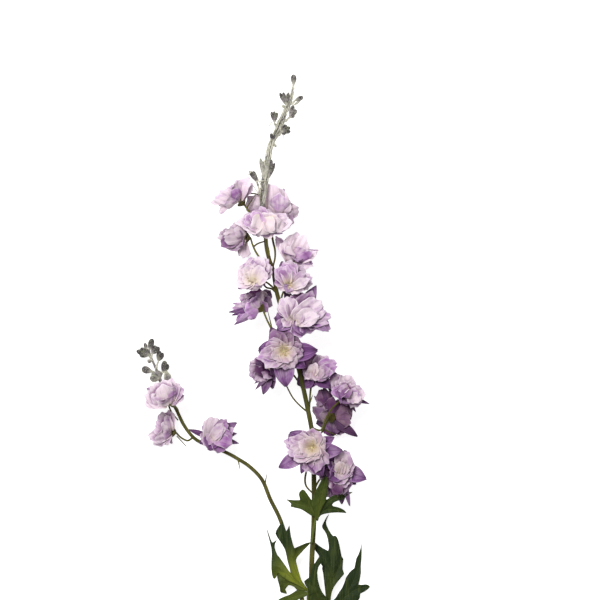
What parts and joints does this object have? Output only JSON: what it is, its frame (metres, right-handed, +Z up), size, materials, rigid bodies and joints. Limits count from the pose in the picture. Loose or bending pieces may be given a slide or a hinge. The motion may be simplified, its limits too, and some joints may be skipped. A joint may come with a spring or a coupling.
{
  "type": "delphinium flower spike",
  "caption": "Cut stem of a double delphinium lying down, with a side branch, lilac blooms over dark violet sepals, felted tips and cut leaves.",
  "frame": {"origin": "middle of the spike's footprint on the surface it lies on", "axes": "+Z up from the surface, +Y along the stem from the cut foot towards the felted tip"},
  "size_m": [0.2324, 0.6849, 0.0832],
  "materials": {
    "stem": "matte green stem",
    "felt": "soft grey-green down",
    "leaf": "satin dark green leaf",
    "sepal": "matte violet sepal",
    "petal": "soft pale lilac petal"
  },
  "bodies": {
    "root": {"stem": "stem", "spike_tip": "felt", "branch_tip": "felt", "leaf_upper": "leaf", "leaf_left": "leaf", "leaf_right": "leaf", "bloom_01_sepals": "sepal", "bloom_01_petals": "petal", "bloom_02_sepals": "sepal", "bloom_02_petals": "petal", "bloom_03_sepals": "sepal", "bloom_03_petals": "petal", "bloom_04_sepals": "sepal", "bloom_04_petals": "petal", "bloom_05_sepals": "sepal", "bloom_05_petals": "petal", "bloom_06_sepals": "sepal", "bloom_06_petals": "petal", "bloom_07_sepals": "sepal", "bloom_07_petals": "petal", "bloom_08_sepals": "sepal", "bloom_08_petals": "petal", "bloom_09_sepals": "sepal", "bloom_09_petals": "petal", "bloom_10_sepals": "sepal", "bloom_10_petals": "petal", "bloom_11_sepals": "sepal", "bloom_11_petals": "petal", "bloom_12_sepals": "sepal", "bloom_12_petals": "petal", "bloom_13_sepals": "sepal", "bloom_13_petals": "petal", "bloom_14_sepals": "sepal", "bloom_14_petals": "petal", "bloom_15_sepals": "sepal", "bloom_15_petals": "petal", "bloom_16_sepals": "sepal", "bloom_16_petals": "petal", "bloom_17_sepals": "sepal", "bloom_17_petals": "petal", "bloom_18_sepals": "sepal", "bloom_18_petals": "petal", "bloom_19_sepals": "sepal", "bloom_19_petals": "petal"}
  },
  "joints": []
}
